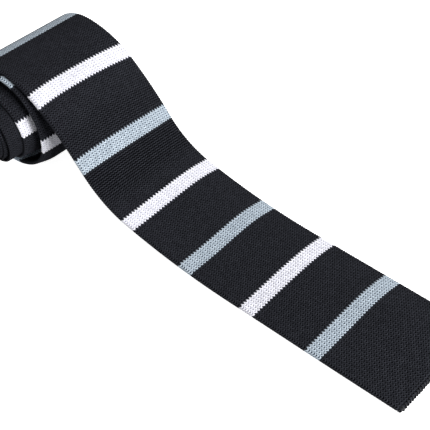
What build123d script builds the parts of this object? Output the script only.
from build123d import *
import os
from math import ceil, cos, degrees, pi, radians, sin, sqrt, tanh

# A square-ended knitted necktie, loosely rolled up from its tail, with the front blade running off the
# top of the roll, down a ramp and flat along the table.
#
# Frame: +X along the laid-out blade towards the square end, +Y across it, +Z up. The origin is the middle
# of the flat underside that rests on the table. Lengths are millimetres, angles are degrees.
#
# The tie is a flattened knitted tube. A place along it is its station: the distance from the square end,
# measured along the underside. Each stretch of one yarn colour is its own solid.

# ---- driving dimensions: the knitted tube ----
BLADE_WIDTH = 60.0
NECK_WIDTH = 42.0
TAIL_WIDTH = 54.0
THICKNESS = 1.9  # flattened tube, both panels together
PANEL = 0.75  # one knitted panel
CROWN = 2.2  # extra height along the middle of the laid-out blade
PRESSED_CROWN = -0.04  # where the tie is wound tight its middle is a little thinner than its folded edges

# ---- driving dimensions: how it lies ----
FLAT_LENGTH = 92.0  # rests flat on the table
LIFT_LENGTH, LIFT_SLOPE = 66.0, 12.0  # gentle rise off the table, and the slope it reaches
FOOT_LENGTH, FOOT_SLOPE = 34.0, 48.0  # tighter bend at the foot of the ramp
CREST_RADIUS, CREST_SLOPE = 46.0, 36.0  # loose bend over the crest, and the slope where the ramp meets it
ROLL_RADIUS = 27.5  # underside of the outermost turn, at the top of the roll
TURN_GAP = 0.12  # air between two turns
TELESCOPE = 2.46  # sideways shift after the first turn, which at first grows with the square of the turns
TELESCOPE_LIMIT = 22.0  # most that the innermost turns are shifted

# ---- driving dimensions: length and stripes ----
BLADE_LENGTH = 640.0
TAPER_LENGTH = 80.0  # from blade to neckband, and from neckband to tail
NECK_LENGTH = 350.0
TAIL_LENGTH = 220.0
STRIPE_START = 41.5  # plain black at the square end
STRIPE_PITCH = 37.2
STRIPE_WIDTH = 8.0
STRIPE_COUNT = 16
YARN_GAP = 0.04  # hairline between two yarns

# ---- driving dimensions: small pieces ----
SEAM_OFFSET = 4.0  # the seam down the back runs beside the middle line
SEAM_GAP = 0.5  # opening between the two edges that the seam thread closes
THREAD = 0.3  # sewing thread
WOUND_LENGTH = 60.0  # longest single length of thread or tape inside the roll
STITCH_LENGTH = 2.0  # running stitch
STITCH_HALF = 0.5  # half the width of a closing stitch
END_STITCHES = 17  # closing stitches across each end
HEM_DEPTH = 10.0  # knit turned in at each end
HEM_SHEET = 0.25
HEM_REST = 0.06  # air between the turned-in knit and the panel it lies on
HEM_INSET = 8.0  # how much narrower than the tie the turned-in knit is
CORNER_INSET = 1.6  # corner tacks, from the side edges
TAPE_WIDTH, TAPE_SHEET = 12.0, 0.2  # woven stay tape inside the neckband
KEEPER_WIDTH, KEEPER_SPAN, KEEPER_SHEET = 12.0, 46.0, 0.9
KEEPER_SLACK = 2.4  # room under the keeper for the tail
LABEL_SHEET = 0.35
LABEL_MARGIN = 1.4  # from a label's edge to its stitches
MAKER_LENGTH, MAKER_SPAN = 16.0, 40.0
CARE_LENGTH, CARE_SPAN = 20.0, 14.0
SECTION_STEP = 15.0  # most that the tie bends between two cross-sections
REST_GAP = 0.2  # air between a sewn-on piece and the knit it lies against
ROUND_MARGIN = 0.1  # how far a rounded end stays short of a full half circle
TACK = 0.8  # diameter of a bar tack

# ---- stations where the bodies meet, and of the pieces on the back ----
END_STATION = 60.0
FOOT_STATION = 176.0
MAKER_STATION = 144.0
CARE_STATION = 193.0
KEEPER_STATION = 205.0

# ---- the curve of the underside, worked out from the dimensions above ----
TURN_PITCH = THICKNESS + TURN_GAP
ROLL_AXIS_HEIGHT = ROLL_RADIUS - TURN_PITCH / 2 + THICKNESS
LIFT_RADIUS = LIFT_LENGTH / radians(LIFT_SLOPE)
FOOT_RADIUS = FOOT_LENGTH / radians(FOOT_SLOPE - LIFT_SLOPE)
CREST_LENGTH = CREST_RADIUS * radians(CREST_SLOPE)
RAMP_RISE = (
    ROLL_AXIS_HEIGHT
    + ROLL_RADIUS
    - LIFT_RADIUS * (1 - cos(radians(LIFT_SLOPE)))
    - FOOT_RADIUS * (cos(radians(LIFT_SLOPE)) - cos(radians(FOOT_SLOPE)))
    - CREST_RADIUS * (1 - cos(radians(CREST_SLOPE)))
)
RAMP_RADIUS = RAMP_RISE / (cos(radians(CREST_SLOPE)) - cos(radians(FOOT_SLOPE)))
RAMP_LENGTH = RAMP_RADIUS * radians(FOOT_SLOPE - CREST_SLOPE)

# Each stretch before the roll: its length, and the slopes at its two ends. Slope is how steeply the tie
# falls towards +X, so it is positive on the ramp and negative on the back of the roll.
STRETCHES = [
    (FLAT_LENGTH, 0.0, 0.0),
    (LIFT_LENGTH, 0.0, LIFT_SLOPE),
    (FOOT_LENGTH, LIFT_SLOPE, FOOT_SLOPE),
    (RAMP_LENGTH, FOOT_SLOPE, CREST_SLOPE),
    (CREST_LENGTH, CREST_SLOPE, 0.0),
]
CREST_STATION = sum(length for length, _, _ in STRETCHES)


def underside(station):
    """Returns x, z and slope of the tie's underside at a station."""
    x, z, left = FLAT_LENGTH / 2, 0.0, station
    for length, slope_in, slope_out in STRETCHES:
        run = min(left, length)
        bend = radians(slope_out - slope_in) / length
        start, end = radians(slope_in), radians(slope_in) + bend * run
        if bend == 0:
            x -= run
        else:
            x -= (sin(end) - sin(start)) / bend
            z += (cos(start) - cos(end)) / bend
        left -= run
        if left <= 0:
            return x, z, degrees(end)
    # wound part of the tie: the radius falls by TURN_PITCH in each full turn, and x is now the roll's axis
    shrink = TURN_PITCH / (2 * pi)
    turned = (ROLL_RADIUS - sqrt(ROLL_RADIUS**2 - 2 * shrink * left)) / shrink
    radius = ROLL_RADIUS - shrink * turned
    return x - radius * sin(turned), ROLL_AXIS_HEIGHT + radius * cos(turned), -degrees(turned)


def sideways(station):
    """Returns how far the tie's middle line has crept towards -Y, which telescopes the roll."""
    turns = max(0.0, -underside(station)[2]) / 360
    return -TELESCOPE_LIMIT * tanh(TELESCOPE * turns**2 / TELESCOPE_LIMIT)


def cross_plane(station):
    """Returns the plane across the tie: x across the tie, y out of its front, origin on its underside."""
    x, z, slope = underside(station)
    towards_end = (cos(radians(slope)), 0, -sin(radians(slope)))
    return Plane(origin=(x, sideways(station), z), x_dir=(0, 1, 0), z_dir=towards_end)


def between(value, start, end):
    """Returns how far value has gone from start to end, from 0 to 1, eased at both ends."""
    share = min(1.0, max(0.0, (value - start) / (end - start)))
    return share * share * (3 - 2 * share)


def tie_width(station):
    """Returns the tie's width: full at the blade, narrow at the neckband, fuller again at the tail."""
    neck_start = BLADE_LENGTH + TAPER_LENGTH
    neck_end = neck_start + NECK_LENGTH
    to_neck = between(station, BLADE_LENGTH, neck_start)
    to_tail = between(station, neck_end, neck_end + TAPER_LENGTH)
    return BLADE_WIDTH + (NECK_WIDTH - BLADE_WIDTH) * to_neck + (TAIL_WIDTH - NECK_WIDTH) * to_tail


def tie_crown(station):
    """Returns the extra height along the middle, which is pressed out where the tie winds up."""
    pressed = between(station, FOOT_STATION, CREST_STATION - 10)
    return CROWN + (PRESSED_CROWN - CROWN) * pressed


def cut_points(start, end):
    """Returns stations from start to end, close enough together to follow the bends of the tie."""
    bend = abs(underside(end)[2] - underside(start)[2])
    steps = 1 if end <= FLAT_LENGTH else max(2, ceil(bend / SECTION_STEP))
    return [start + (end - start) * i / steps for i in range(steps + 1)]


def knit_outline(station):
    """Returns the cross-section: a knitted strip folded round a hollow, its edges meeting at the back."""
    radius = THICKNESS / 2
    half = tie_width(station) / 2 - radius
    crown = tie_crown(station)
    hollow = radius - PANEL
    top = THICKNESS - PANEL
    seam_left, seam_right = SEAM_OFFSET - SEAM_GAP / 2, SEAM_OFFSET + SEAM_GAP / 2
    with BuildSketch(cross_plane(station)) as outline:
        with BuildLine():
            Line((seam_right, 0), (half, 0))
            ThreePointArc((half, 0), (half + radius, radius), (half, THICKNESS))
            ThreePointArc((half, THICKNESS), (0, THICKNESS + crown), (-half, THICKNESS))
            ThreePointArc((-half, THICKNESS), (-half - radius, radius), (-half, 0))
            Polyline((-half, 0), (seam_left, 0), (seam_left, PANEL), (-half, PANEL))
            ThreePointArc((-half, PANEL), (-half - hollow, radius), (-half, top))
            ThreePointArc((-half, top), (0, top + crown), (half, top))
            ThreePointArc((half, top), (half + hollow, radius), (half, PANEL))
            Polyline((half, PANEL), (seam_right, PANEL), (seam_right, 0))
        make_face()
    return outline.sketch


def knit_tube(start, end):
    """Returns one stretch of the hollow knitted tube."""
    with BuildPart() as tube:
        loft([knit_outline(at) for at in cut_points(start + YARN_GAP / 2, end - YARN_GAP / 2)])
    return tube.part


def strip_along(start, end, middle, width, low, high):
    """Returns a thin strip that follows the tie: middle and width across it, low to high above its back."""
    with BuildPart() as strip:
        for station in cut_points(start, end):
            with BuildSketch(cross_plane(station)):
                with Locations((middle, (low + high) / 2)):
                    Rectangle(width, high - low)
        loft()
    return strip.part


def in_lengths(start, end):
    """Returns start and end of the equal lengths in which thread or tape is laid through the roll."""
    count = ceil((end - start) / WOUND_LENGTH)
    step = (end - start) / count
    return [(start + i * step, start + (i + 1) * step) for i in range(count)]


def seam_thread(start, end):
    """Returns the thread that joins the knitted strip's two edges along the back."""
    low = (PANEL - THREAD) / 2
    return strip_along(start + YARN_GAP, end - YARN_GAP, SEAM_OFFSET, THREAD, low, low + THREAD)


def stay_tape(start, end):
    """Returns a length of the woven tape inside the neckband, lying on the inside of the back panel."""
    low = PANEL + HEM_REST
    return strip_along(start + YARN_GAP, end - YARN_GAP, 0, TAPE_WIDTH, low, low + TAPE_SHEET)


def hem_sheet(start, width):
    """Returns the knit turned in at an end, lying on the inside of the back panel."""
    low = PANEL + HEM_REST
    return strip_along(start, start + HEM_DEPTH, 0, width, low, low + HEM_SHEET)


def closing_stitches(station, outward, places, half_width):
    """Returns upright stitches that close the tube just outside one end: outward is 1 or -1 towards +X."""
    across = cross_plane(station)
    crown = tie_crown(station)
    edge = tie_width(station) / 2
    stand = outward * (half_width / 2 + REST_GAP)
    with BuildPart() as stitches:
        for place in places:
            height = THICKNESS + crown * (1 - (place / edge) ** 2) - 2 * THREAD
            foot = across.origin + across.y_dir * THREAD + across.z_dir * stand
            with BuildSketch(Plane(foot, across.x_dir, across.y_dir)):
                with Locations((place, 0)):
                    Ellipse(half_width, half_width / 2)
            extrude(amount=height)
    return stitches.part


def back_plane(station, depth):
    """Returns a plane below the back: x across the tie, y towards the square end, z away from the tie."""
    across = cross_plane(station)
    return Plane(across.origin - across.y_dir * depth, across.x_dir, across.y_dir * -1)


def keeper_loop():
    """Returns the keeper: a narrow knitted loop on the back, open at both ends for the tail to pass."""
    height = KEEPER_SLACK + 2 * KEEPER_SHEET
    with BuildPart() as loop:
        with BuildSketch(cross_plane(KEEPER_STATION)):
            with Locations((0, -REST_GAP - height / 2)):
                RectangleRounded(KEEPER_SPAN, height, height / 2 - ROUND_MARGIN)
                RectangleRounded(
                    KEEPER_SPAN - 2 * KEEPER_SHEET,
                    KEEPER_SLACK,
                    KEEPER_SLACK / 2 - ROUND_MARGIN,
                    mode=Mode.SUBTRACT,
                )
        extrude(amount=KEEPER_WIDTH / 2, both=True)
    return loop.part


def bar_tacks(station, spacing, length, turned):
    """Returns a pair of bar tacks on the back, spacing apart across the tie, each turned by an angle."""
    with BuildPart() as tacks:
        with BuildSketch(back_plane(station, REST_GAP)):
            with GridLocations(spacing, 0, 2, 1):
                SlotOverall(length, TACK, rotation=turned)
        extrude(amount=TACK / 2)
        fillet(tacks.faces().filter_by(GeomType.PLANE).sort_by(Axis.Z)[:2].edges(), TACK / 8)
    return tacks.part


def label_stitches(station, length, span, depth):
    """Returns two rows of running stitches that hold a label of this length and span down."""
    count = int(length / (2 * STITCH_LENGTH))
    with BuildPart() as stitches:
        with BuildSketch(back_plane(station, depth)):
            with GridLocations(span - 2 * LABEL_MARGIN, 2 * STITCH_LENGTH, 2, count):
                SlotOverall(STITCH_LENGTH, THREAD, rotation=90)
        extrude(amount=THREAD)
    return stitches.part


def care_label():
    """Returns the care label: a short tape folded double, hanging from its upper edge."""
    with BuildPart() as label:
        with BuildSketch(back_plane(CARE_STATION, REST_GAP)):
            with Locations((0, CARE_LENGTH / 2)):
                Rectangle(CARE_SPAN, CARE_LENGTH)
        extrude(amount=2 * LABEL_SHEET)
        free_edges = label.faces().sort_by(Axis.X).last.edges().filter_by(Axis.Y)
        fillet(free_edges, LABEL_SHEET * 0.9)
    return label.part


def spread(count, reach):
    """Returns count places from -reach to reach."""
    return [reach * (2 * i / (count - 1) - 1) for i in range(count)]


def stripe_edges():
    """Returns start, end and colour of every band along the blade, from the square end."""
    edges, last = [], 0.0
    for number in range(STRIPE_COUNT):
        start = STRIPE_START + number * STRIPE_PITCH
        edges.append((last, start, "black"))
        last = start + STRIPE_WIDTH
        edges.append((start, last, "white" if number % 2 else "grey"))
    edges.append((last, BLADE_LENGTH, "black"))
    return edges


def write(pieces, name):
    """Writes one node, which may hold several separate solids."""
    node = pieces[0] if len(pieces) == 1 else Compound(children=pieces)
    node.label = name
    export_step(node, f"parts/{name}.step")


os.makedirs("parts", exist_ok=True)

# ---- the knitted blade: black ground with grey and white stripes in turn, by body ----
BODY_SPANS = {
    "end": (0.0, END_STATION),
    "run": (END_STATION, FOOT_STATION),
    "ramp": (FOOT_STATION, CREST_STATION),
    "roll": (CREST_STATION, BLADE_LENGTH),
}
for body, (body_start, body_end) in BODY_SPANS.items():
    bands = {}
    for start, end, colour in stripe_edges():
        first, last = max(start, body_start), min(end, body_end)
        if first < last:
            bands.setdefault(colour, []).append(knit_tube(first, last))
    for colour, pieces in bands.items():
        write(pieces, f"{body}_{colour}_knit")

# ---- neckband and tail, wound inside the blade ----
NECK_END = BLADE_LENGTH + 2 * TAPER_LENGTH + NECK_LENGTH
TOTAL_LENGTH = NECK_END + TAIL_LENGTH
write([knit_tube(BLADE_LENGTH, NECK_END)], "neckband_knit")
write([knit_tube(NECK_END, TOTAL_LENGTH)], "tail_knit")

tape_lengths = in_lengths(BLADE_LENGTH + TAPER_LENGTH, NECK_END - TAPER_LENGTH)
write([stay_tape(*length) for length in tape_lengths], "neck_stay_tape")

# ---- seam down the back ----
for body in ("end", "run", "ramp"):
    write([seam_thread(*BODY_SPANS[body])], f"{body}_seam_thread")
write([seam_thread(*length) for length in in_lengths(CREST_STATION, TOTAL_LENGTH)], "roll_seam_thread")

# ---- hems: knit turned in, and the stitches that close the tube ----
write([hem_sheet(HEM_REST, BLADE_WIDTH - HEM_INSET)], "end_hem")
write([hem_sheet(TOTAL_LENGTH - HEM_DEPTH - HEM_REST, TAIL_WIDTH - HEM_INSET)], "tail_hem")
end_places = spread(END_STITCHES, BLADE_WIDTH / 2 - HEM_INSET / 2)
write([closing_stitches(0, 1, end_places, STITCH_HALF)], "end_hem_stitches")
write([closing_stitches(0, 1, spread(2, BLADE_WIDTH / 2 - CORNER_INSET), TACK / 2)], "end_corner_tacks")
tail_places = spread(END_STITCHES, TAIL_WIDTH / 2 - HEM_INSET / 2)
write([closing_stitches(TOTAL_LENGTH, -1, tail_places, STITCH_HALF)], "tail_hem_stitches")

# ---- pieces sewn to the back ----
write([keeper_loop()], "keeper_loop")
write([bar_tacks(KEEPER_STATION, KEEPER_SPAN + 3 * TACK, KEEPER_WIDTH * 0.6, 90)], "keeper_tacks")
maker_span = (MAKER_STATION - MAKER_LENGTH / 2, MAKER_STATION + MAKER_LENGTH / 2)
write(
    [strip_along(*maker_span, 0, MAKER_SPAN, -REST_GAP - LABEL_SHEET, -REST_GAP)], "maker_label"
)
stitch_depth = REST_GAP + LABEL_SHEET + YARN_GAP
write(
    [label_stitches(MAKER_STATION, MAKER_LENGTH, MAKER_SPAN, stitch_depth)], "maker_label_stitches"
)
write([care_label()], "care_label")
write([bar_tacks(CARE_STATION + 2 * TACK, CARE_SPAN / 2, CARE_SPAN * 0.4, 0)], "care_label_tacks")
